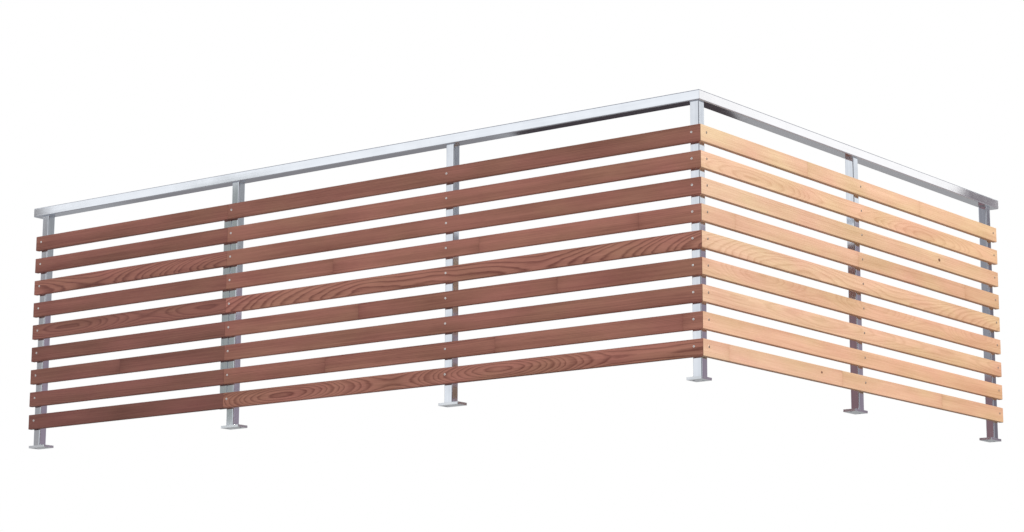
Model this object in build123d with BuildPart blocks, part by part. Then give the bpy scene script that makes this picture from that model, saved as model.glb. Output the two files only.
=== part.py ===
from build123d import *
from collections import namedtuple
import os

# Balcony railing that turns one square corner. Square steel posts stand on welded base plates,
# a hollow handrail runs centred over them with a mitred corner, and nine rows of boards are fixed
# to the outer faces of the posts. The boards are mitred where the two runs meet.
#
# The origin is under the middle of the corner post, on the underside of its base plate.
# +Z is up. The front run goes along -X and faces -Y. The side run goes along +Y and faces +X.
# All lengths are in millimetres.

# Layout of the posts
front_bay = 1180.0  # middle to middle, the same for every bay of the front run
front_bay_count = 3
side_bay_near = 1165.0  # from the corner post to the next one on the side run
side_bay_far = 1195.0
joint_post = 2  # the front post, counted from the corner, where the boards are joined

# Posts and base plates
post_width = 40.0
post_wall = 3.0
post_radius = 4.0  # outer corner of the square tube
plate_thickness = 10.0
plate_reach = 30.0  # past each side of the post, along the run
plate_depth = 60.0  # from the outer face of the post inwards
plate_radius = 3.0
anchor_hole = 11.0
anchor_edge = 15.0  # middle of an anchor hole to the end of its plate

# Handrail
rail_top = 1100.0
rail_width = 60.0  # wider than the posts, and centred on them
rail_height = 40.0
rail_wall = 3.0
rail_radius = 4.0
front_rail_overhang = 68.0  # past the middle of the end post, cap included
side_rail_overhang = 85.0
cap_thickness = 3.0
cap_edge = 1.2
plug_length = 14.0
plug_wall = 2.0
plug_clearance = 0.3

# Boards
board_rows = 9
board_height = 65.0
board_thickness = 21.0
board_lowest = 81.0  # underside of the lowest board
board_drop = 98.0  # from the underside of the handrail down to the top board
board_edge = 2.5  # rounding of the long edges
board_overhang = 32.0  # past the middle of an end post
board_joint = 1.0  # gap where two boards meet end to end

# Joint bar, a steel flat beside the post where the boards are joined
bar_width = 40.0
bar_thickness = 8.0
bar_hole = 5.0

post_half = post_width / 2
post_top = rail_top - rail_height
rail_half = rail_width / 2
rail_middle = rail_top - rail_height / 2
board_out = post_half + board_thickness / 2
board_highest = post_top - board_drop
board_spacing = (board_highest - board_lowest - board_rows * board_height) / (board_rows - 1)  # open gap, 37 mm
board_pitch = board_height + board_spacing
front_length = front_bay * front_bay_count
side_length = side_bay_near + side_bay_far
joint_place = front_bay * joint_post + post_half  # the joint post's side away from the corner
mitre = Plane(origin=(0, 0, 0), z_dir=(1, 1, 0))

# A run is known by its direction away from the corner and by the way its boards face.
Run = namedtuple("Run", "along face")
front = Run(Vector(-1, 0, 0), Vector(0, -1, 0))
side = Run(Vector(0, 1, 0), Vector(1, 0, 0))


def spot(run, along, out, up):
    """A point so far along a run, out from its line of posts and above the floor."""
    return run.along * along + run.face * out + Vector(0, 0, up)


def across(run, along, out, up):
    """A plane square across a run, with its x towards the outer face."""
    return Plane(origin=spot(run, along, out, up), x_dir=run.face, z_dir=run.along)


def row_middle(row):
    """Height of the middle of a row of boards. Row 1 is the top one."""
    return board_lowest + board_height / 2 + board_pitch * (board_rows - row)


def save(piece, name):
    piece.part.label = name
    export_step(piece.part, f"parts/{name}.step")


def make_post(run, along, name):
    """Square tube from its base plate to the underside of the handrail."""
    inside = post_width - 2 * post_wall
    with BuildPart() as post:
        with BuildSketch(Plane(origin=spot(run, along, 0, plate_thickness))):
            RectangleRounded(post_width, post_width, post_radius)
            RectangleRounded(inside, inside, post_radius - post_wall, mode=Mode.SUBTRACT)
        extrude(amount=post_top - plate_thickness)
    save(post, name)


def make_plate(run, along, name):
    """Base plate of a straight post: flush with its outer face, an anchor hole at each end."""
    length = post_width + 2 * plate_reach
    middle = post_half - plate_depth / 2
    with BuildPart() as plate:
        with BuildSketch(Plane(origin=spot(run, along, middle, 0), x_dir=run.along)):
            RectangleRounded(length, plate_depth, plate_radius)
            with GridLocations(length - 2 * anchor_edge, 0, 2, 1):
                Circle(anchor_hole / 2, mode=Mode.SUBTRACT)
        extrude(amount=plate_thickness)
    save(plate, name)


def make_corner_plate(name):
    """Base plate of the corner post, which stands in the outer corner of a square plate."""
    size = post_width + plate_reach
    middle = post_half - size / 2
    near = post_half - plate_depth / 2
    far = post_half - size + anchor_edge
    with BuildPart() as plate:
        with BuildSketch(Plane(origin=(middle, -middle, 0))):
            RectangleRounded(size, size, plate_radius)
        extrude(amount=plate_thickness)
        with Locations((far, -near, plate_thickness), (near, -far, plate_thickness)):
            Hole(anchor_hole / 2)
    save(plate, name)


def make_rail(run, end, kept, name):
    """Hollow handrail of one run, mitred at the corner and square at its free end."""
    inside_width = rail_width - 2 * rail_wall
    inside_height = rail_height - 2 * rail_wall
    with BuildPart() as rail:
        with BuildSketch(across(run, -rail_half, 0, rail_middle)):
            RectangleRounded(rail_width, rail_height, rail_radius)
            RectangleRounded(inside_width, inside_height, rail_radius - rail_wall, mode=Mode.SUBTRACT)
        extrude(amount=rail_half + end - cap_thickness)
        split(bisect_by=mitre, keep=kept)
    save(rail, name)


def make_cap(run, end, name):
    """End cap of a handrail: a plate with eased edges, and a hollow plug inside the tube."""
    seat = across(run, end - cap_thickness, 0, rail_middle)
    plug_width = rail_width - 2 * (rail_wall + plug_clearance)
    plug_height = rail_height - 2 * (rail_wall + plug_clearance)
    with BuildPart() as cap:
        with BuildSketch(seat):
            RectangleRounded(rail_width, rail_height, rail_radius)
        extrude(amount=cap_thickness)
        end_face = cap.faces().sort_by(Axis(seat.origin, seat.z_dir))[-1]
        fillet(end_face.edges(), radius=cap_edge)
        with BuildSketch(seat):
            Rectangle(plug_width, plug_height)
            Rectangle(plug_width - 2 * plug_wall, plug_height - 2 * plug_wall, mode=Mode.SUBTRACT)
        extrude(amount=-plug_length)
    save(cap, name)


def make_board(run, start, end, row, name, kept=None):
    """One board of a row. Where kept is given, the board is mitred at the corner."""
    with BuildPart() as board:
        with BuildSketch(across(run, start, board_out, row_middle(row))):
            RectangleRounded(board_thickness, board_height, board_edge)
        extrude(amount=end - start)
        if kept == Keep.BOTTOM:
            split(bisect_by=mitre.offset(-board_joint / 2), keep=kept)
        if kept == Keep.TOP:
            split(bisect_by=mitre.offset(board_joint / 2), keep=kept)
    save(board, name)


def make_joint_bar(name):
    """Steel flat behind the board ends at the joint post, with a screw hole for every row."""
    height = board_highest - board_lowest
    middle = joint_place + bar_width / 2
    holes = [(0, row_middle(row) - board_lowest - height / 2) for row in range(1, board_rows + 1)]
    centre = spot(front, middle, post_half, board_lowest + height / 2)
    with BuildPart() as bar:
        with BuildSketch(Plane(origin=centre, x_dir=-front.along, z_dir=front.face)):
            Rectangle(bar_width, height)
            with Locations(*holes):
                Circle(bar_hole / 2, mode=Mode.SUBTRACT)
        extrude(amount=-bar_thickness)
    save(bar, name)


os.makedirs("parts", exist_ok=True)

# Posts and their base plates, numbered away from the corner
make_post(front, 0, "corner_post")
make_corner_plate("corner_plate")
for number in range(1, front_bay_count + 1):
    make_post(front, front_bay * number, f"front_post_{number}")
    make_plate(front, front_bay * number, f"front_plate_{number}")
for number, place in enumerate((side_bay_near, side_length), start=1):
    make_post(side, place, f"side_post_{number}")
    make_plate(side, place, f"side_plate_{number}")

# Handrail
front_rail_end = front_length + front_rail_overhang
side_rail_end = side_length + side_rail_overhang
make_rail(front, front_rail_end, Keep.BOTTOM, "front_rail")
make_rail(side, side_rail_end, Keep.TOP, "side_rail")
make_cap(front, front_rail_end, "front_rail_cap")
make_cap(side, side_rail_end, "side_rail_cap")

# Boards: on the front run a long one from the corner and a short one past the joint
make_joint_bar("joint_bar")
corner_start = -post_half - board_thickness
for row in range(1, board_rows + 1):
    make_board(front, corner_start, joint_place - board_joint / 2, row, f"front_board_{row}", Keep.BOTTOM)
    make_board(front, joint_place + board_joint / 2, front_length + board_overhang, row, f"end_board_{row}")
    make_board(side, corner_start, side_length + board_overhang, row, f"side_board_{row}", Keep.TOP)
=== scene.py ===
import math
import random

import bmesh
import bpy
from mathutils import Matrix, Vector


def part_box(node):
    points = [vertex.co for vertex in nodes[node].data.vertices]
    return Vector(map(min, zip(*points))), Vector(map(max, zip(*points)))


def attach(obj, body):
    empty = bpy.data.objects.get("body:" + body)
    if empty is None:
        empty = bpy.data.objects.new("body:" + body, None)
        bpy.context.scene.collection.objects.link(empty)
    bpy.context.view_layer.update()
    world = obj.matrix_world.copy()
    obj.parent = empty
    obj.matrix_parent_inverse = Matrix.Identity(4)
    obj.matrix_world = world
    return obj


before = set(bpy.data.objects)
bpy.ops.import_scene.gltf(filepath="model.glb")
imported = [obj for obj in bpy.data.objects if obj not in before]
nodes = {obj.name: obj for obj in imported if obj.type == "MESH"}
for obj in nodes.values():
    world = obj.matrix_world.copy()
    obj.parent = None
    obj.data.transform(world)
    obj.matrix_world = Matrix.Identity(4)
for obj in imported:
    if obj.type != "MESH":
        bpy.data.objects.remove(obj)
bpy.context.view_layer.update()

# Looks of the corner balcony railing. Metres, +Z up, the corner post stands over the origin,
# the front run goes along -X and faces -Y, the side run goes along +Y and faces +X.

boardRows = 9
frontPosts = ["corner_post", "front_post_1", "front_post_2", "front_post_3"]
sidePosts = ["corner_post", "side_post_1", "side_post_2"]


def middleOf(nodeName):
    low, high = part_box(nodeName)
    return (low + high) / 2


def rowHeight(row):
    return middleOf(f"front_board_{row}").z


def deselectAll():
    if bpy.context.object and bpy.context.object.mode != "OBJECT":
        bpy.ops.object.mode_set(mode="OBJECT")
    bpy.ops.object.select_all(action="DESELECT")


def pickFaces(piece, wanted):
    # in edit mode, selects the faces for which wanted(face) is true
    bpy.ops.mesh.select_mode(type="FACE")
    bpy.ops.mesh.select_all(action="DESELECT")
    shape = bmesh.from_edit_mesh(piece.data)
    for face in shape.faces:
        face.select_set(wanted(face))
    bmesh.update_edit_mesh(piece.data)


def pickEdges(piece, wanted):
    bpy.ops.mesh.select_mode(type="EDGE")
    bpy.ops.mesh.select_all(action="DESELECT")
    shape = bmesh.from_edit_mesh(piece.data)
    for edge in shape.edges:
        edge.select_set(wanted(edge))
    bmesh.update_edit_mesh(piece.data)


def pickPoints(piece, wanted):
    bpy.ops.mesh.select_mode(type="VERT")
    bpy.ops.mesh.select_all(action="DESELECT")
    shape = bmesh.from_edit_mesh(piece.data)
    for point in shape.verts:
        point.select_set(wanted(point.co))
    shape.select_flush_mode()
    bmesh.update_edit_mesh(piece.data)


def copyTo(source, place, turn=(0, 0, 0)):
    deselectAll()
    source.select_set(True)
    bpy.context.view_layer.objects.active = source
    bpy.ops.object.duplicate(linked=False)
    twin = bpy.context.object
    twin.location = place
    twin.rotation_euler = turn
    return twin


def joinAs(copies, name):
    deselectAll()
    for one in copies:
        one.select_set(True)
    bpy.context.view_layer.objects.active = copies[0]
    bpy.ops.object.join()
    joined = bpy.context.object
    joined.name = name
    bpy.ops.object.transform_apply(location=True, rotation=True, scale=True)
    return joined


def setMaterial(piece, material):
    piece.data.materials.clear()
    piece.data.materials.append(material)


def removePattern(piece):
    deselectAll()
    piece.select_set(True)
    bpy.ops.object.delete()


print("frame loaded:", len(nodes), "nodes")


# Small helpers for node trees

def feed(tree, socket, value):
    # a number or a colour is set on the socket, an output is linked to it
    if isinstance(value, (int, float)):
        socket.default_value = value
    elif isinstance(value, tuple):
        socket.default_value = (*value, 1)
    else:
        tree.links.new(value, socket)


def mathNode(tree, operation, *values):
    node = tree.nodes.new("ShaderNodeMath")
    node.operation = operation
    for socket, value in zip(node.inputs, values):
        feed(tree, socket, value)
    return node.outputs[0]


def addShare(tree, base, amount, share):
    return mathNode(tree, "MULTIPLY_ADD", amount, share, base)


def centred(tree, value):
    return mathNode(tree, "SUBTRACT", value, 0.5)


def joinVector(tree, *values):
    node = tree.nodes.new("ShaderNodeCombineXYZ")
    for socket, value in zip(node.inputs, values):
        feed(tree, socket, value)
    return node.outputs[0]


def lengthOf(tree, first, second):
    node = tree.nodes.new("ShaderNodeVectorMath")
    node.operation = "LENGTH"
    tree.links.new(joinVector(tree, first, second, 0.0), node.inputs[0])
    return node.outputs["Value"]


def clampNode(tree, value):
    node = tree.nodes.new("ShaderNodeClamp")
    tree.links.new(value, node.inputs["Value"])
    return node.outputs[0]


def splitVector(tree, vector):
    node = tree.nodes.new("ShaderNodeSeparateXYZ")
    tree.links.new(vector, node.inputs[0])
    return tuple(node.outputs)


def noiseNode(tree, vector, scale=1.0, detail=2.0, roughness=0.5):
    node = tree.nodes.new("ShaderNodeTexNoise")
    node.inputs["Scale"].default_value = scale
    node.inputs["Detail"].default_value = detail
    node.inputs["Roughness"].default_value = roughness
    tree.links.new(vector, node.inputs["Vector"])
    return node.outputs["Fac"]


def rampNode(tree, fac, stops):
    node = tree.nodes.new("ShaderNodeValToRGB")
    marks = node.color_ramp.elements
    while len(marks) < len(stops):
        marks.new(0.5)
    for mark, (place, value) in zip(marks, stops):
        mark.position = place
        mark.color = (value, value, value, 1) if isinstance(value, float) else (*value, 1)
    tree.links.new(fac, node.inputs["Fac"])
    return node.outputs["Color"]


def mixNode(tree, fac, first, second, blend="MIX"):
    node = tree.nodes.new("ShaderNodeMix")
    node.data_type = "RGBA"
    node.blend_type = blend
    for key, value in (("Factor", fac), ("A", first), ("B", second)):
        feed(tree, node.inputs[key], value)
    return node.outputs["Result"]


def mixShaders(tree, fac, first, second):
    node = tree.nodes.new("ShaderNodeMixShader")
    for socket, value in zip(node.inputs, (fac, first, second)):
        tree.links.new(value, socket)
    return node.outputs[0]


def addRelief(tree, shader, height, strength, depth):
    bump = tree.nodes.new("ShaderNodeBump")
    bump.inputs["Strength"].default_value = strength
    bump.inputs["Distance"].default_value = depth
    tree.links.new(height, bump.inputs["Height"])
    tree.links.new(bump.outputs["Normal"], shader.inputs["Normal"])


def newMaterial(name):
    material = bpy.data.materials.new(name)
    material.use_nodes = True
    tree = material.node_tree
    return material, tree, tree.nodes["Principled BSDF"]


# Timber: one group holds the wood, each board's material gives it a log, a tone and a knot

timberSockets = {
    "NodeSocketVector": ("Place",),
    "NodeSocketFloat": (
        "Seed", "PithDepth", "PithHeight", "Tilt", "Wander", "Swing", "SwingPlace", "SwingLength",
        "SwingStop", "RingWidth", "RingStrength", "PieceLength", "KnotAlong", "KnotUp", "KnotSize",
    ),
    "NodeSocketColor": ("Light", "Dark", "KnotColor"),
}
grain = {
    "jointHalf": 0.0007,        # half the width of the line where two short pieces meet
    "jointFade": 55.0,          # the higher, the narrower the dark band beside that line
    "pieceSeed": 3.0,
    "pieceShift": 0.03,         # how far the logs of neighbouring pieces lie apart
    "wanderPace": 1.7,
    "wanderOffset": 7.3,
    "knotStretch": 0.7,         # under 1 makes a knot longer than high
    "knotReach": 2.4,           # how far it bends the rings, in knot sizes
    "knotPush": 1.8,
    "knotEdge": 700.0,
    "knotSoft": 0.2,
    "knotRings": 700.0,         # rings to the metre inside a knot
    "knotWobble": 1.5,
    "knotFade": 0.35,
    "smallestKnot": 0.001,
    "wobble": (7.0, 60.0, 60.0),
    "wobbleWidth": 0.0028,
    "unevenPace": 0.45,
    "unevenRings": 2.2,
    "ringStops": [(0.0, 0.1), (0.45, 0.22), (0.82, 1.0), (1.0, 0.1)],    # a light ring with a dark edge
    "ringMiddle": 0.42,
    "pieceDark": 0.12,
    "bandDark": 0.2,
    "knotDark": 14.0,
    "lineDark": 0.2,
    "baseDark": 0.34,
    "tintStretch": (2.6, 6.0, 9.0),
    "tints": [(0.35, (1.0, 0.90, 0.94)), (0.65, (0.95, 0.98, 0.90))],    # ruddy and tawny, along every board
    "ringRelief": 0.35,
    "streakRelief": 0.6,
    "fibreRelief": 0.5,
    "jointRelief": -0.6,
    "rough": 0.42,
    "streakRough": 0.18,
    "darkRough": 0.12,
}
grainLayers = {    # stretch along and across the board, detail, roughness, share of the darkness
    "bands": (0.9, 22.0, 2.0, 0.5, 0.9),
    "streaks": (3.0, 160.0, 3.0, 0.6, 0.8),
    "fibres": (25.0, 1100.0, 2.0, 0.6, 0.5),
    "blotches": (3.5, 12.0, 2.0, 0.5, 0.5),
}


def stretched(group, place, seeded, alongBy, deepBy, upBy):
    # the place in the wood, drawn out along the board
    along, deep, up = place
    return joinVector(group, addShare(group, seeded, along, alongBy),
                      mathNode(group, "MULTIPLY", deep, deepBy), mathNode(group, "MULTIPLY", up, upBy))


def shortPieces(group, given, along):
    # the shorter pieces that a board is joined from, each with a log of its own
    length = given["PieceLength"]
    piecePlace = mathNode(group, "DIVIDE", mathNode(group, "ADD", along, given["Seed"]), length)
    pieceNoise = group.nodes.new("ShaderNodeTexWhiteNoise")
    pieceNoise.noise_dimensions = "1D"
    group.links.new(mathNode(group, "FLOOR", piecePlace), pieceNoise.inputs["W"])
    pieceTone = centred(group, pieceNoise.outputs["Value"])
    toJoint = mathNode(group, "MULTIPLY", mathNode(group, "PINGPONG", piecePlace, 0.5), length)
    jointLine = mathNode(group, "LESS_THAN", toJoint, grain["jointHalf"])
    jointBand = mathNode(group, "EXPONENT", mathNode(group, "MULTIPLY", toJoint, -grain["jointFade"]))
    seeded = addShare(group, given["Seed"], pieceTone, grain["pieceSeed"])
    return pieceTone, jointLine, jointBand, seeded


def pithDistance(group, given, place, pieceTone, seeded):
    # distance from a pith that tilts, swings and wanders behind the board's face
    along, deep, up = place
    slow = mathNode(group, "MULTIPLY", along, grain["wanderPace"])
    deepLine = joinVector(group, slow, seeded, 0.0)
    upLine = joinVector(group, slow, grain["wanderOffset"], seeded)
    wanderDepth = centred(group, noiseNode(group, deepLine, 1.0, 1.0))
    wanderUp = centred(group, noiseNode(group, upLine, 1.0, 1.0))
    swingAlong = mathNode(group, "MINIMUM", along, given["SwingStop"])
    swingAlong = mathNode(group, "SUBTRACT", swingAlong, given["SwingPlace"])
    swingTurn = mathNode(group, "DIVIDE", swingAlong, given["SwingLength"])
    swing = mathNode(group, "COSINE", mathNode(group, "MULTIPLY", swingTurn, 2 * math.pi))
    depth = mathNode(group, "ADD", deep, given["PithDepth"])
    depth = addShare(group, depth, along, given["Tilt"])
    depth = addShare(group, depth, mathNode(group, "MULTIPLY", swing, -1.0), given["Swing"])
    depth = addShare(group, depth, wanderDepth, given["Wander"])
    height = mathNode(group, "SUBTRACT", up, given["PithHeight"])
    height = addShare(group, height, wanderUp, given["Wander"])
    height = addShare(group, height, pieceTone, grain["pieceShift"])
    return lengthOf(group, depth, height)


def knotPlace(group, given, place):
    # distance from the knot's middle, and how far it pushes the rings aside
    along, deep, up = place
    knotAcross = mathNode(group, "SUBTRACT", along, given["KnotAlong"])
    knotAcross = mathNode(group, "MULTIPLY", knotAcross, grain["knotStretch"])
    distance = lengthOf(group, knotAcross, mathNode(group, "SUBTRACT", up, given["KnotUp"]))
    reach = mathNode(group, "MULTIPLY_ADD", given["KnotSize"], grain["knotReach"], 0.0001)
    fall = mathNode(group, "POWER", mathNode(group, "DIVIDE", distance, reach), 2.0)
    swell = mathNode(group, "EXPONENT", mathNode(group, "MULTIPLY", fall, -1.0))
    return distance, mathNode(group, "MULTIPLY", swell, given["KnotSize"])


def growthRings(group, given, radius, wobble, seeded):
    # rings of uneven width
    radius = addShare(group, radius, wobble, grain["wobbleWidth"])
    ringPlace = mathNode(group, "DIVIDE", radius, given["RingWidth"])
    slow = mathNode(group, "MULTIPLY", ringPlace, grain["unevenPace"])
    uneven = noiseNode(group, joinVector(group, slow, seeded, 0.0), 1.0, 1.0)
    ringPlace = addShare(group, ringPlace, uneven, grain["unevenRings"])
    return rampNode(group, mathNode(group, "FRACT", ringPlace), grain["ringStops"])


def paintKnot(group, given, wood, knotDistance, wobble):
    toEdge = mathNode(group, "SUBTRACT", given["KnotSize"], knotDistance)
    inKnot = clampNode(group, mathNode(group, "MULTIPLY_ADD", toEdge, grain["knotEdge"], grain["knotSoft"]))
    isThere = mathNode(group, "GREATER_THAN", given["KnotSize"], grain["smallestKnot"])
    rings = mathNode(group, "MULTIPLY", knotDistance, grain["knotRings"])
    rings = mathNode(group, "FRACT", addShare(group, rings, wobble, grain["knotWobble"]))
    rings = mathNode(group, "MULTIPLY", rings, grain["knotFade"])
    knotWood = mixNode(group, rings, given["KnotColor"], given["Dark"])
    return mixNode(group, mathNode(group, "MULTIPLY", inKnot, isThere), wood, knotWood)


def makeTimberGroup():
    group = bpy.data.node_groups.new("timberGrain", "ShaderNodeTree")
    for kind, names in timberSockets.items():
        for name in names:
            group.interface.new_socket(name, in_out="INPUT", socket_type=kind)
    for name, kind in (("Color", "Color"), ("Height", "Float"), ("Gloss", "Float")):
        group.interface.new_socket(name, in_out="OUTPUT", socket_type="NodeSocket" + kind)
    given = group.nodes.new("NodeGroupInput").outputs
    result = group.nodes.new("NodeGroupOutput").inputs
    place = splitVector(group, given["Place"])

    pieceTone, jointLine, jointBand, seeded = shortPieces(group, given, place[0])
    knotDistance, knotSwell = knotPlace(group, given, place)
    radius = pithDistance(group, given, place, pieceTone, seeded)
    radius = addShare(group, radius, knotSwell, grain["knotPush"])
    wobble = noiseNode(group, stretched(group, place, seeded, *grain["wobble"]), 1.0, 3.0)
    wobble = centred(group, wobble)
    ring = growthRings(group, given, radius, wobble, seeded)

    # how dark the wood is, from the rings, the layers of streaks, the joints and the knot
    darkness = mathNode(group, "SUBTRACT", ring, grain["ringMiddle"])
    darkness = mathNode(group, "MULTIPLY", darkness, given["RingStrength"])
    layers = {}
    for name, (alongBy, acrossBy, detail, roughness, share) in grainLayers.items():
        vector = stretched(group, place, seeded, alongBy, acrossBy, acrossBy)
        layers[name] = noiseNode(group, vector, 1.0, detail, roughness)
        darkness = addShare(group, darkness, centred(group, layers[name]), share)
    darkness = addShare(group, darkness, pieceTone, grain["pieceDark"])
    darkness = addShare(group, darkness, jointBand, grain["bandDark"])
    darkness = addShare(group, darkness, knotSwell, grain["knotDark"])
    darkness = addShare(group, darkness, jointLine, grain["lineDark"])
    darkness = clampNode(group, mathNode(group, "ADD", darkness, grain["baseDark"]))
    wood = mixNode(group, darkness, given["Light"], given["Dark"])
    tintPlace = noiseNode(group, stretched(group, place, seeded, *grain["tintStretch"]), 1.0, 2.0)
    wood = mixNode(group, 1.0, wood, rampNode(group, tintPlace, grain["tints"]), "MULTIPLY")
    group.links.new(paintKnot(group, given, wood, knotDistance, wobble), result["Color"])

    relief = mathNode(group, "MULTIPLY", ring, grain["ringRelief"])
    relief = addShare(group, relief, layers["streaks"], grain["streakRelief"])
    relief = addShare(group, relief, layers["fibres"], grain["fibreRelief"])
    relief = addShare(group, relief, jointLine, grain["jointRelief"])
    group.links.new(relief, result["Height"])
    gloss = mathNode(group, "MULTIPLY_ADD", layers["streaks"], grain["streakRough"], grain["rough"])
    gloss = addShare(group, gloss, darkness, grain["darkRough"])
    group.links.new(gloss, result["Gloss"])
    return group


timber = {
    "faceOut": 0.041,           # outer face of the boards from the line of posts
    # The front and end runs' colours are the wood with painted shade; sideLight and sideDark are the same
    # wood, lighter and yellower, with painted sunlight. The key lamp gives the rest of the difference.
    "frontLight": (0.640, 0.284, 0.204),
    "frontDark": (0.242, 0.082, 0.058),
    "endLight": (0.455, 0.190, 0.140),
    "endDark": (0.170, 0.054, 0.043),
    "sideLight": (0.80, 0.535, 0.360),
    "sideDark": (0.48, 0.260, 0.145),
    "evenRows": (0.98, 0.94, 0.93),    # tint of every other board of the side run
    "topRow": {"front": (1.0, 1.0, 1.0), "end": (1.03, 1.04, 1.03), "side": (1.02, 1.07, 1.06)},
    "bottomRow": {"front": (1.0, 1.0, 1.0), "end": (0.88, 0.88, 0.92), "side": (0.98, 0.97, 0.97)},
    "startTint": {"front": (0.96, 0.96, 0.98), "end": (0.97, 0.96, 0.97), "side": (1.02, 1.05, 1.09)},
    "stopTint": {"front": (1.03, 1.04, 1.04), "end": (1.03, 1.04, 1.03), "side": (0.98, 0.94, 0.88)},
    "toneSpread": 0.05,
    "knot": (0.10, 0.032, 0.02),
    "seeds": (3, 60),
    "pithAway": (0.05, 0.12),
    "tilt": (0.0, 0.01),
    "wander": (0.01, 0.03),
    "figuredWander": 0.02,
    "ringWidth": 0.0042,
    "ringWidthSpread": (0.6, 0.9),
    "ringStrength": (0.2, 0.35),
    "pieceLength": 0.85,
    "pieceLengthSpread": (0.8, 1.2),
    "pastTheEnd": 90.0,         # a length that no board reaches
    "reliefDepth": 0.0005,
    "reliefStrength": 0.6,
    "specular": 0.35,
}
jointedRows = {"front": (4, 6, 8), "end": (7,), "side": (1, 4, 9)}    # rows joined from short pieces
# Boards with open arched grain: pith height and depth, tilt, swing, its place along the board and
# its length, ring width, ring strength
figured = {
    ("front", 5): (-0.036, 0.200, -0.034, 0.019, 1.80, 2.4, 0.0044, 0.8),
    ("front", 9): (0.000, 0.060, 0.000, 0.024, 0.27, 1.15, 0.0042, 0.7),
    ("end", 3): (-0.022, 0.110, -0.020, 0.022, 0.62, 1.6, 0.0042, 0.75),
    ("end", 5): (0.008, 0.060, 0.012, 0.008, -0.30, 0.8, 0.0042, 0.55),
    ("side", 2): (-0.010, 0.075, 0.000, 0.014, -0.85, 1.4, 0.0040, 0.32),
    ("side", 5): (-0.034, 0.180, -0.028, 0.018, 1.75, 2.4, 0.0042, 0.4),
    ("side", 6): (0.024, 0.090, 0.000, 0.012, -0.80, 0.9, 0.0038, 0.22),
    ("side", 7): (0.016, 0.080, 0.010, 0.008, -0.30, 1.6, 0.0038, 0.28),
}
swingStops = {("front", 9): 0.80}    # past this place the arches end and the grain runs straight
boardTones = {    # boards that are a little darker or lighter than their neighbours
    ("front", 1): 0.84, ("front", 4): 1.05, ("front", 7): 0.88, ("end", 3): 1.10,
    ("side", 4): 0.91, ("side", 6): 0.92, ("side", 7): 0.94,
}
knots = {    # along from the board's middle, up, size
    ("side", 3): (0.66, 0.004, 0.007),
    ("side", 9): (-0.36, 0.006, 0.005),
}


def layAlongBoard(tree, run, centre):
    # the pattern's x runs along the board, its y into the wood and its z up
    where = tree.nodes.new("ShaderNodeTexCoord")
    lay = tree.nodes.new("ShaderNodeMapping")
    start = -centre.x
    if run == "side":
        start = -centre.y
        lay.inputs["Rotation"].default_value = (0, 0, -math.pi / 2)
    lay.inputs["Location"].default_value = (start, timber["faceOut"], -centre.z)
    tree.links.new(where.outputs["Object"], lay.inputs["Vector"])
    return lay.outputs["Vector"]


def pickLog(run, row, chance):
    # how the board lies in its log, by chance, and as listed for the figured boards
    along, up, size = knots.get((run, row), (0, 0, 0))
    pieceLength = timber["pieceLength"]
    values = {
        "Seed": chance.uniform(*timber["seeds"]),
        "PithDepth": chance.uniform(*timber["pithAway"]),
        "PithHeight": chance.choice((-1, 1)) * chance.uniform(*timber["pithAway"]),
        "Tilt": chance.choice((-1, 1)) * chance.uniform(*timber["tilt"]),
        "Wander": chance.uniform(*timber["wander"]),
        "Swing": 0.0,
        "SwingPlace": 0.0,
        "SwingLength": 1.0,
        "SwingStop": swingStops.get((run, row), timber["pastTheEnd"]),
        "RingWidth": timber["ringWidth"] * chance.uniform(*timber["ringWidthSpread"]),
        "RingStrength": chance.uniform(*timber["ringStrength"]),
        "PieceLength": timber["pastTheEnd"],
        "KnotAlong": along,
        "KnotUp": up,
        "KnotSize": size,
    }
    if row in jointedRows[run]:
        values["PieceLength"] = pieceLength * chance.uniform(*timber["pieceLengthSpread"])
    if (run, row) in figured:
        keys = ("PithHeight", "PithDepth", "Tilt", "Swing", "SwingPlace", "SwingLength",
                "RingWidth", "RingStrength")
        values.update(zip(keys, figured[(run, row)]))
        values["Wander"] = timber["figuredWander"]
    return values


def boardTint(run, row):
    # the boards change a little from the top row to the bottom one
    share = (row - 1) / (boardRows - 1)
    ends = zip(timber["topRow"][run], timber["bottomRow"][run])
    tint = [top * (1 - share) + bottom * share for top, bottom in ends]
    if run == "side" and row % 2 == 0:
        tint = [channel * by for channel, by in zip(tint, timber["evenRows"])]
    return [channel * boardTones.get((run, row), 1.0) for channel in tint]


def makeBoardMaterial(run, row, group, chance):
    material, tree, shader = newMaterial(f"{run}Board{row}")
    low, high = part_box(f"{run}_board_{row}")
    lay = layAlongBoard(tree, run, (low + high) / 2)
    wood = tree.nodes.new("ShaderNodeGroup")
    wood.node_tree = group
    tree.links.new(lay, wood.inputs["Place"])
    lighter = 1 + chance.uniform(-timber["toneSpread"], timber["toneSpread"])
    for key, value in pickLog(run, row, chance).items():
        wood.inputs[key].default_value = value
    tint = boardTint(run, row)
    # these colours hold painted shade on the front and end runs and painted sunlight on the side run
    colours = {"Light": timber[run + "Light"], "Dark": timber[run + "Dark"], "KnotColor": timber["knot"]}
    for key, colour in colours.items():
        toned = [channel * lighter * by for channel, by in zip(colour, tint)]
        wood.inputs[key].default_value = (*toned, 1)
    boardLength = max(high.x - low.x, high.y - low.y)
    place = mathNode(tree, "MULTIPLY_ADD", splitVector(tree, lay)[0], 1 / boardLength, 0.5)
    drift = rampNode(tree, place, [(0.0, timber["startTint"][run]), (1.0, timber["stopTint"][run])])
    colour = mixNode(tree, 1.0, wood.outputs["Color"], drift, "MULTIPLY")
    tree.links.new(colour, shader.inputs["Base Color"])
    tree.links.new(wood.outputs["Gloss"], shader.inputs["Roughness"])
    shader.inputs["Specular IOR Level"].default_value = timber["specular"]
    addRelief(tree, shader, wood.outputs["Height"], timber["reliefStrength"], timber["reliefDepth"])
    return material


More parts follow.
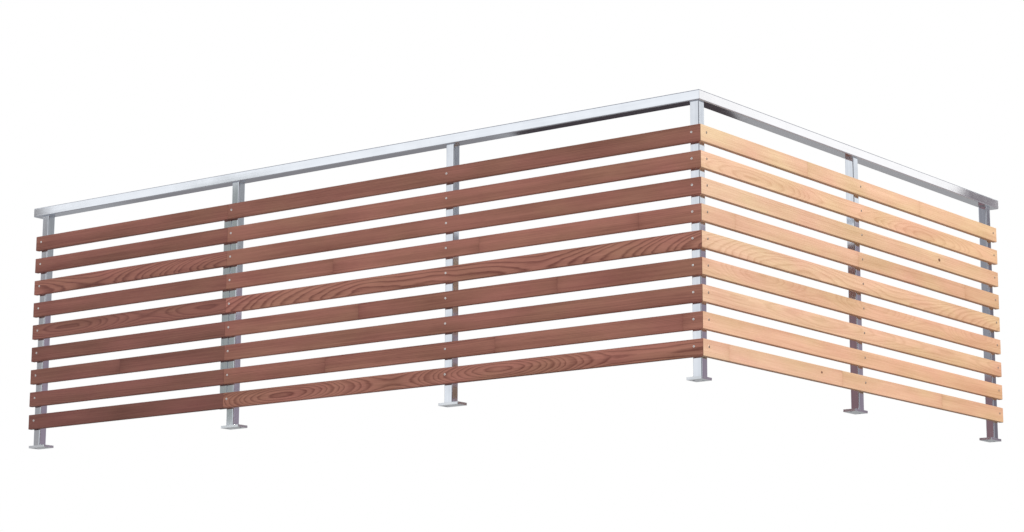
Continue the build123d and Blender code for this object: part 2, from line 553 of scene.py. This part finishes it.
timberGroup = makeTimberGroup()
chance = random.Random(11)
for run in ("front", "end", "side"):
    for row in range(1, boardRows + 1):
        setMaterial(nodes[f"{run}_board_{row}"], makeBoardMaterial(run, row, timberGroup, chance))
print("timber set on", 3 * boardRows, "boards")


# Steel

steel = {
    "post": {"light": (0.76, 0.80, 0.86), "dark": (0.62, 0.66, 0.72), "rough": 0.06, "wear": 0.25},
    # shadeRail and sunRail are one steel: the front handrail's colours hold painted shade, and the side
    # handrail's lighter ones hold painted sunlight
    "shadeRail": {"light": (0.86, 0.90, 0.96), "dark": (0.78, 0.82, 0.88), "rough": 0.05, "wear": 0.10},
    "sunRail": {"light": (0.98, 0.98, 1.00), "dark": (0.93, 0.93, 0.95), "rough": 0.05, "wear": 0.10},
    "plate": {"light": (0.76, 0.79, 0.83), "dark": (0.60, 0.63, 0.67), "rough": 0.18, "wear": 0.5},
    "ground": {"light": (0.52, 0.55, 0.60), "dark": (0.34, 0.36, 0.40), "rough": 0.30, "wear": 0.3},
    "stain": (0.40, 0.39, 0.37),
    "streakAcross": 120.0,
    "streakAlong": 2.5,
    "streakShare": 0.8,
    "patchScale": 9.0,
    "patchStops": [(0.25, 0.0), (0.75, 1.0)],
    "patchRough": 0.06,
    "markScale": 42.0,
    "markStops": [(0.0, 0.0), (0.60, 0.0), (0.74, 1.0), (1.0, 1.0)],    # few marks, with soft edges
    "markRough": 0.2,
    "reliefDepth": 0.00004,
    "reliefStrength": 0.25,
}


def makeSteel(name, alongAxis, finish):
    # drawn tube or plate with fine lines along one axis, dull patches and a few darker marks
    look = steel[finish]
    material, tree, shader = newMaterial(name)
    where = tree.nodes.new("ShaderNodeTexCoord").outputs["Object"]
    stretch = tree.nodes.new("ShaderNodeMapping")
    scales = [steel["streakAlong"] if axis == alongAxis else steel["streakAcross"] for axis in "XYZ"]
    stretch.inputs["Scale"].default_value = scales
    tree.links.new(where, stretch.inputs["Vector"])
    lines = noiseNode(tree, stretch.outputs["Vector"], 1.0, 3.0, 0.6)
    patches = noiseNode(tree, where, steel["patchScale"], 3.0, 0.6)
    marks = rampNode(tree, noiseNode(tree, where, steel["markScale"], 4.0, 0.7), steel["markStops"])
    blend = addShare(tree, patches, centred(tree, lines), steel["streakShare"])
    colour = mixNode(tree, rampNode(tree, blend, steel["patchStops"]), look["light"], look["dark"])
    colour = mixNode(tree, mathNode(tree, "MULTIPLY", marks, look["wear"]), colour, steel["stain"])
    smoothest = look["rough"] - steel["patchRough"] / 3
    rough = mathNode(tree, "MULTIPLY_ADD", patches, steel["patchRough"], smoothest)
    rough = addShare(tree, rough, marks, steel["markRough"] * look["wear"])
    tree.links.new(colour, shader.inputs["Base Color"])
    tree.links.new(rough, shader.inputs["Roughness"])
    shader.inputs["Metallic"].default_value = 1.0
    addRelief(tree, shader, lines, steel["reliefStrength"], steel["reliefDepth"])
    return material


uprightSteel = makeSteel("uprightSteel", "Z", "post")
# front handrail with painted shade, side handrail with painted sunlight
frontRailSteel = makeSteel("frontRailSteel", "X", "shadeRail")
sideRailSteel = makeSteel("sideRailSteel", "Y", "sunRail")
plateSteel = makeSteel("plateSteel", "X", "plate")
for name, node in nodes.items():
    if name.endswith("post") or "_post_" in name or name == "joint_bar":
        setMaterial(node, uprightSteel)
    elif "plate" in name:
        setMaterial(node, plateSteel)
    elif name.startswith("front_rail"):
        setMaterial(node, frontRailSteel)
    elif name.startswith("side_rail"):
        setMaterial(node, sideRailSteel)
print("steel set on posts, plates and handrail")


# Screws that hold the boards, one in every row at every post

screw = {
    "radius": 0.0046,
    "rise": 0.0006,        # edge of the head above the board
    "crown": 0.0005,
    "shank": 0.003,
    "sides": 24,
    "rim": 0.14,           # width of the slope at the edge, as a share of the radius
    "rimRise": 0.7,        # share of the crown that this slope climbs
    "lip": 1.2,            # outer edge of the flat round the socket, in socket radii
    "socketRadius": 0.0021,
    "socketDepth": 0.0012,
    "socketMiddle": 0.0003,
    "lobes": 6,
    "lobe": 0.74,          # how far the socket's hollows pull in
    "smoothAngle": 35,
    "light": (1.0, 0.99, 0.96),
    "dark": (0.84, 0.83, 0.80),
    # the side run's screws: the same steel painted darker, a painted shade
    "paintedShadeLight": (0.50, 0.46, 0.42),
    "paintedShadeDark": (0.26, 0.23, 0.21),
    "wearScale": 260.0,
    "rough": 0.18,
    "wornRough": 0.25,
    # painted shade in the screw head's socket
    "socketShade": (0.16, 0.15, 0.14),
    "socketShadeRough": 0.8,
    "aboveMiddle": 0.005,  # the screws sit a little above the middle of the board
}


def isSocketHollow(point):
    # the points of the socket's rim that are drawn in between its lobes
    if point.z < screw["rise"] or point.xy.length > screw["socketRadius"] * 1.08:
        return False
    every = screw["sides"] // screw["lobes"]
    step = 2 * math.pi / screw["sides"]
    return round(math.atan2(point.y, point.x) / step) % every == every // 2


def isInSocket(face):
    middle = face.calc_center_median()
    belowTop = middle.z < screw["rise"] + screw["crown"] - 0.0001
    return belowTop and middle.xy.length < screw["socketRadius"] * 0.9


def modelScrewHead():
    deselectAll()
    bpy.ops.mesh.primitive_cylinder_add(vertices=screw["sides"], radius=screw["radius"], depth=screw["shank"],
                                        location=(0, 0, screw["rise"] - screw["shank"] / 2))
    head = bpy.context.object
    bpy.ops.object.transform_apply(location=True, rotation=True, scale=True)
    bpy.ops.object.mode_set(mode="EDIT")
    pickFaces(head, lambda face: face.normal.z > 0.9)
    bpy.ops.mesh.inset(thickness=screw["radius"] * screw["rim"])
    bpy.ops.transform.translate(value=(0, 0, screw["crown"] * screw["rimRise"]))
    bpy.ops.mesh.inset(thickness=screw["radius"] * (1 - screw["rim"]) - screw["socketRadius"] * screw["lip"])
    bpy.ops.transform.translate(value=(0, 0, screw["crown"] * (1 - screw["rimRise"])))
    bpy.ops.mesh.inset(thickness=screw["socketRadius"] * (screw["lip"] - 1))
    pickPoints(head, isSocketHollow)
    bpy.ops.transform.resize(value=(screw["lobe"], screw["lobe"], 1), center_override=(0, 0, 0))
    pickFaces(head, lambda face: face.normal.z > 0.9
              and face.calc_center_median().xy.length < screw["socketMiddle"])
    bpy.ops.mesh.extrude_region_move(TRANSFORM_OT_translate={"value": (0, 0, -screw["socketDepth"])})
    bpy.ops.object.mode_set(mode="OBJECT")
    head.data.materials.append(makeScrewSteel("screwSteel", screw["light"], screw["dark"]))
    head.data.materials.append(makeSocketShade())
    bpy.ops.object.mode_set(mode="EDIT")
    pickFaces(head, isInSocket)
    head.active_material_index = 1
    bpy.ops.object.material_slot_assign()
    bpy.ops.object.mode_set(mode="OBJECT")
    bpy.ops.object.shade_smooth_by_angle(angle=math.radians(screw["smoothAngle"]))
    return head


def makeScrewSteel(name, light, dark):
    material, tree, shader = newMaterial(name)
    where = tree.nodes.new("ShaderNodeTexCoord").outputs["Object"]
    worn = noiseNode(tree, where, screw["wearScale"], 3.0, 0.6)
    rough = mathNode(tree, "MULTIPLY_ADD", worn, screw["wornRough"], screw["rough"])
    tree.links.new(mixNode(tree, worn, light, dark), shader.inputs["Base Color"])
    tree.links.new(rough, shader.inputs["Roughness"])
    shader.inputs["Metallic"].default_value = 1.0
    return material


# the socket's dark colour is painted shade in the recess
def makeSocketShade():
    material, tree, shader = newMaterial("socketPaintedShade")
    shader.inputs["Base Color"].default_value = (*screw["socketShade"], 1)
    shader.inputs["Roughness"].default_value = screw["socketShadeRough"]
    return material


def screwColumn(name, places, turn):
    column = joinAs([copyTo(screwHead, place, turn) for place in places], name)
    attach(column, "root")
    return column


screwHead = modelScrewHead()
faceFront = (math.pi / 2, 0, 0)
faceSide = (0, math.pi / 2, 0)
faceBack = (-math.pi / 2, 0, 0)
middleHeights = [rowHeight(row) for row in range(1, boardRows + 1)]
screwHeights = [z + screw["aboveMiddle"] for z in middleHeights]
for post in frontPosts:
    places = [(middleOf(post).x, -timber["faceOut"], z) for z in screwHeights]
    screwColumn(f"screws_front_of_{post}", places, faceFront)
# a darker copy of the screw steel: painted shade on the side run's screws
shadedScrewSteel = makeScrewSteel("shadedScrewSteel", screw["paintedShadeLight"], screw["paintedShadeDark"])
for post in sidePosts:
    places = [(timber["faceOut"], middleOf(post).y, z) for z in screwHeights]
    column = screwColumn(f"screws_side_of_{post}", places, faceSide)
    column.data.materials[0] = shadedScrewSteel
barLow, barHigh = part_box("joint_bar")
barX = (barLow.x + barHigh.x) / 2
screwColumn("screws_behind_joint_bar", [(barX, barHigh.y, z) for z in middleHeights], faceBack)
removePattern(screwHead)
print("screws made")


# Weld beads at the feet and tops of the posts and behind the joint bar

weld = {
    "radius": 0.0034,
    "length": 0.034,
    "sides": 10,
    "ripples": 11,
    "swell": 1.16,
    "taper": 0.55,
    "smoothAngle": 80,
    "stitches": 5,       # short welds that hold the joint bar to its post
}


def modelWeldBead():
    deselectAll()
    bpy.ops.mesh.primitive_cylinder_add(vertices=weld["sides"], radius=weld["radius"], depth=weld["length"])
    bead = bpy.context.object
    bpy.ops.object.mode_set(mode="EDIT")
    half = weld["length"] / 2
    pickEdges(bead, lambda edge: abs(edge.verts[0].co.z - edge.verts[1].co.z) > half)
    bpy.ops.mesh.subdivide(number_cuts=2 * weld["ripples"] - 1)
    spacing = half / weld["ripples"]
    pickPoints(bead, lambda point: round(point.z / spacing + weld["ripples"]) % 2 == 1)
    bpy.ops.transform.resize(value=(weld["swell"], weld["swell"], 1), center_override=(0, 0, 0))
    pickPoints(bead, lambda point: abs(point.z) > half - spacing / 2)
    bpy.ops.transform.resize(value=(weld["taper"], weld["taper"], 1), center_override=(0, 0, 0))
    bpy.ops.object.mode_set(mode="OBJECT")
    bpy.ops.object.shade_smooth_by_angle(angle=math.radians(weld["smoothAngle"]))
    return bead


def weldPost(bead, post, plateTop, railBottom):
    # beads on the sides where the plate reaches past the post, and on two sides under the handrail
    low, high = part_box(post)
    middle = (low + high) / 2
    left, right = (low.x, middle.y), (high.x, middle.y)
    near, far = (middle.x, low.y), (middle.x, high.y)
    turns = {left: alongY, right: alongY, near: alongX, far: alongX}
    if post == "corner_post":
        flush, under = (near, right), ()    # its beads under the handrail are made last
    elif post in sidePosts:
        flush, under = (right,), (near, far)
    else:
        flush, under = (near,), (left, right)
    made = [copyTo(bead, (*place, plateTop), turns[place]) for place in turns if place not in flush]
    made += [copyTo(bead, (*place, railBottom), turns[place]) for place in under]
    return made


alongX = (0, math.pi / 2, 0)
alongY = (math.pi / 2, 0, 0)
weldBead = modelWeldBead()
beads = []
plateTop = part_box("corner_plate")[1].z
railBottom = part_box("front_rail")[0].z
for post in sorted(set(frontPosts + sidePosts)):
    beads += weldPost(weldBead, post, plateTop, railBottom)
cornerLow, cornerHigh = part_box("corner_post")
beads.append(copyTo(weldBead, (cornerLow.x, 0, railBottom), alongY))
beads.append(copyTo(weldBead, (0, cornerHigh.y, railBottom), alongX))
for stitch in range(weld["stitches"]):
    z = barLow.z + (barHigh.z - barLow.z) * (stitch + 0.5) / weld["stitches"]
    beads.append(copyTo(weldBead, (barHigh.x, barHigh.y, z)))
welds = joinAs(beads, "weld_beads")
setMaterial(welds, makeSteel("weldSteel", "Z", "plate"))
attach(welds, "root")
removePattern(weldBead)
print("weld beads made:", len(beads))


# Ground seam where the two handrails meet

seam = {
    "halfWidth": 0.0011,
    "sides": 10,
    "inset": 0.0035,                 # it stops where the rail's long edges turn
    "levelSquash": (1, 1, 0.35),     # on top and below it is ground nearly flat
    "uprightSquash": (0.6, 0.6, 1),
    "smoothAngle": 60,
}


def makeSeamStretch(length, place, turn, squash):
    deselectAll()
    bpy.ops.mesh.primitive_cylinder_add(vertices=seam["sides"], radius=seam["halfWidth"], depth=length,
                                        location=place, rotation=turn)
    stretch = bpy.context.object
    bpy.ops.object.transform_apply(location=False, rotation=True, scale=True)
    bpy.ops.object.mode_set(mode="EDIT")
    bpy.ops.mesh.select_all(action="SELECT")
    bpy.ops.transform.resize(value=squash)
    bpy.ops.object.mode_set(mode="OBJECT")
    return stretch


def makeRailSeam():
    low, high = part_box("front_rail")
    outer = -low.y
    diagonal = 2 * math.sqrt(2) * (outer - seam["inset"])
    upright = high.z - low.z - 2 * seam["inset"]
    alongMitre = (math.pi / 2, 0, math.pi / 4)
    stretches = []
    for z in (low.z, high.z):
        stretches.append(makeSeamStretch(diagonal, (0, 0, z), alongMitre, seam["levelSquash"]))
    for side in (1, -1):    # the outer and the inner corner
        place = (side * outer, -side * outer, (low.z + high.z) / 2)
        stretches.append(makeSeamStretch(upright, place, (0, 0, 0), seam["uprightSquash"]))
    made = joinAs(stretches, "handrail_mitre_seam")
    bpy.ops.object.shade_smooth_by_angle(angle=math.radians(seam["smoothAngle"]))
    setMaterial(made, makeSteel("seamSteel", "Z", "ground"))
    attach(made, "root")


makeRailSeam()
print("handrail seam made")


# Stage: a pale floor that is seen only from above, and a white surround

stage = {
    "floorSize": 60.0,
    "floorDrop": 0.002,
    "floorColour": (0.86, 0.86, 0.85),
    "floorRough": 0.8,
    "floorSpecular": 0.1,
    "floorBounce": (0.36, 0.35, 0.35),    # the floor's light on the timber
    "floorMirror": (0.30, 0.30, 0.31),    # the floor as the steel shows it
    "floorGlimpse": 0.5,                  # how light the plates are underneath
    "glimpseReach": 0.02,                 # only this near to the floor
    "skyLight": (0.93, 0.96, 1.0),
    "skyStrength": 0.55,
    "keyStrength": 3.2,
    "keyColour": (1.0, 0.975, 0.94),
    "keyFrom": (0.84, 0.10, 0.62),
    "keyAngle": 9.0,
    "fillPower": 125.0,
    "fillPlace": (-5.5, -7.5, 2.6),
    "fillAim": (-1.6, 0, 0.5),
    "fillSize": 6.0,
}


def makeFloor():
    deselectAll()
    bpy.ops.mesh.primitive_plane_add(size=stage["floorSize"], location=(0, 0, -stage["floorDrop"]))
    floor = bpy.context.object
    floor.name = "floor"
    material, tree, shader = newMaterial("paleFloor")
    shader.inputs["Roughness"].default_value = stage["floorRough"]
    shader.inputs["Specular IOR Level"].default_value = stage["floorSpecular"]
    rays = tree.nodes.new("ShaderNodeLightPath").outputs
    underside = tree.nodes.new("ShaderNodeNewGeometry").outputs["Backfacing"]
    seenBySteel = mixNode(tree, rays["Is Glossy Ray"], stage["floorBounce"], stage["floorMirror"])
    colour = mixNode(tree, rays["Is Camera Ray"], seenBySteel, stage["floorColour"])
    tree.links.new(colour, shader.inputs["Base Color"])
    glimpse = tree.nodes.new("ShaderNodeEmission")
    glimpse.inputs["Strength"].default_value = stage["floorGlimpse"]
    nearBy = mathNode(tree, "LESS_THAN", rays["Ray Length"], stage["glimpseReach"])
    underPlate = mathNode(tree, "MULTIPLY", nearBy, mathNode(tree, "SUBTRACT", 1.0, underside))
    solid = mixShaders(tree, underPlate, shader.outputs[0], glimpse.outputs[0])
    clear = tree.nodes.new("ShaderNodeBsdfTransparent").outputs[0]
    fromBelow = mathNode(tree, "MULTIPLY", rays["Is Camera Ray"], underside)
    shown = mixShaders(tree, fromBelow, solid, clear)
    tree.links.new(shown, tree.nodes["Material Output"].inputs["Surface"])
    setMaterial(floor, material)


def makeSurround():
    # white where it is seen, a softer sky where it lights the railing
    world = bpy.data.worlds.new("surround")
    bpy.context.scene.world = world
    world.use_nodes = True
    tree = world.node_tree
    tree.nodes.clear()
    rays = tree.nodes.new("ShaderNodeLightPath").outputs
    seen = mathNode(tree, "MAXIMUM", rays["Is Camera Ray"], rays["Is Glossy Ray"])
    seen = mathNode(tree, "MAXIMUM", seen, rays["Is Transmission Ray"])
    light = tree.nodes.new("ShaderNodeBackground")
    light.inputs["Color"].default_value = (*stage["skyLight"], 1)
    light.inputs["Strength"].default_value = stage["skyStrength"]
    white = tree.nodes.new("ShaderNodeBackground")
    white.inputs["Color"].default_value = (1, 1, 1, 1)
    white.inputs["Strength"].default_value = 1.0
    output = tree.nodes.new("ShaderNodeOutputWorld")
    tree.links.new(mixShaders(tree, seen, light.outputs[0], white.outputs[0]), output.inputs["Surface"])


def makeLamps():
    deselectAll()
    bpy.ops.object.light_add(type="SUN")
    key = bpy.context.object
    key.name = "keyLight"
    key.data.energy = stage["keyStrength"]
    key.data.angle = math.radians(stage["keyAngle"])
    key.data.color = stage["keyColour"]
    key.rotation_euler = Vector(stage["keyFrom"]).to_track_quat("Z", "Y").to_euler()
    bpy.ops.object.light_add(type="AREA")
    fill = bpy.context.object
    fill.name = "fillLight"
    fill.data.shape = "DISK"
    fill.data.size = stage["fillSize"]
    fill.data.energy = stage["fillPower"]
    fill.visible_glossy = False
    fill.location = stage["fillPlace"]
    toward = Vector(stage["fillAim"]) - fill.location
    fill.rotation_euler = toward.to_track_quat("-Z", "Y").to_euler()


# Grey panels that only the steel sees: centre, facing, width, height, shade
cards = {
    "cardRight": ((7.0, 11.5, 1.2), (-0.52, -0.85, 0), 10.0, 4.4, (0.36, 0.29, 0.34)),
    "cardLeft": ((-15.9, -7.9, 0.73), (0, 1, 0), 8.0, 5.46, (0.42, 0.40, 0.395)),
    "cardRailEnd": ((-13.2, -7.9, 3.80), (0, 1, 0), 1.9, 0.66, (0.24, 0.225, 0.22)),
    "cardBehind": ((7.87, 11.3, 3.4), (0, -1, 0), 0.5, 7.0, (0.23, 0.23, 0.25)),
    "cardBehindFar": ((11.0, 11.3, 3.4), (0, -1, 0), 5.75, 7.0, (0.40, 0.40, 0.40)),
    # cardRightEnd's dark shade puts a painted shadow on the right end of the side handrail and on the last
    # side post
    "cardRightEnd": ((4.42, 11.0, 2.15), (0, -1, 0), 0.40, 2.3, (0.20, 0.18, 0.20)),
    "cardSecondPost": ((-9.9, -7.9, 2.43), (0, 1, 0), 0.9, 2.1, (0.37, 0.385, 0.36)),
    "cardInsideLow": ((-0.80, 0.25, 0.36), (0, 1, 0), 1.0, 0.52, (0.28, 0.17, 0.18)),
    "cardInsideHigh": ((-1.05, 0.25, 1.13), (0, 1, 0), 0.5, 1.02, (0.36, 0.35, 0.37)),
    "cardAbove": ((-1.0, 6.0, 12.0), (0, 0, 1), 36.0, 52.0, (0.27, 0.28, 0.325)),
    "cardEdges": ((11.7, -7.6, 3.0), (-0.84, 0.55, 0), 20.0, 7.0, (0.10, 0.10, 0.12)),
    "cardUnderRail": ((-2.87, 3.66, 0.01), (0, 0, 1), 1.29, 2.5, (0.055, 0.045, 0.05)),
    "cardUnderRailFar": ((-5.1, 3.46, 0.01), (0, 0, 1), 3.0, 1.2, (0.25, 0.24, 0.25)),
}
cardTurns = {"cardUnderRail": 23.5}    # degrees, for a card that faces up
oneSided = ("cardInsideLow", "cardInsideHigh")    # not seen from behind


def makeCardMaterial(name, shade):
    material, tree, shader = newMaterial(name)
    glow = tree.nodes.new("ShaderNodeEmission")
    glow.inputs["Color"].default_value = (*shade, 1)
    shown = glow.outputs[0]
    if name in oneSided:
        back = tree.nodes.new("ShaderNodeNewGeometry").outputs["Backfacing"]
        clear = tree.nodes.new("ShaderNodeBsdfTransparent").outputs[0]
        shown = mixShaders(tree, back, shown, clear)
    tree.links.new(shown, tree.nodes["Material Output"].inputs["Surface"])
    return material


def makeCard(name, place, facing, width, height, shade):
    deselectAll()
    bpy.ops.mesh.primitive_plane_add(size=1)
    card = bpy.context.object
    card.name = name
    card.scale = (width, height, 1)
    bpy.ops.object.transform_apply(location=False, rotation=False, scale=True)
    if facing == (0, 0, 1):
        card.rotation_euler = (0, 0, math.radians(cardTurns.get(name, 0)))
    else:
        card.rotation_euler = Vector(facing).to_track_quat("Z", "Y").to_euler()
    card.location = place
    setMaterial(card, makeCardMaterial(name, shade))
    card.visible_camera = False
    card.visible_diffuse = False
    card.visible_shadow = False
    card.visible_transmission = False


makeFloor()
for name, values in cards.items():
    makeCard(name, *values)
makeSurround()
makeLamps()
print("stage set")


# Camera at the photograph's place. The pixel values are in its 1024 by 532 frame.

view = {
    "place": (5.1574, -7.9039, -1.3662),
    "turn": 35.546,         # degrees left of +Y
    "lookUp": 12.117,
    "roll": -0.2091,
    "frameWidth": 1024,
    "focalPixels": 2568.8,
    "centreRight": 80.0,    # pixels from the frame's middle to the lens axis
    "centreUp": 60.0,
    "sensorWidth": 36,
    "seesAsFar": 200,
}


def makeCamera():
    turn, lookUp, roll = (math.radians(view[key]) for key in ("turn", "lookUp", "roll"))
    ahead = math.cos(lookUp)
    forward = Vector((-math.sin(turn) * ahead, math.cos(turn) * ahead, math.sin(lookUp)))
    level = Vector((math.cos(turn), math.sin(turn), 0))
    upward = level.cross(forward)
    right = level * math.cos(roll) + upward * math.sin(roll)
    top = upward * math.cos(roll) - level * math.sin(roll)
    turned = Matrix((right, top, -forward)).transposed().to_4x4()
    deselectAll()
    bpy.ops.object.camera_add()
    camera = bpy.context.object
    camera.matrix_world = Matrix.Translation(view["place"]) @ turned
    camera.data.sensor_width = view["sensorWidth"]
    camera.data.lens = view["sensorWidth"] * view["focalPixels"] / view["frameWidth"]
    camera.data.shift_x = -view["centreRight"] / view["frameWidth"]
    camera.data.shift_y = -view["centreUp"] / view["frameWidth"]
    camera.data.clip_end = view["seesAsFar"]
    bpy.context.scene.camera = camera
    bpy.context.scene.view_settings.view_transform = "Standard"


makeCamera()
print("camera set")
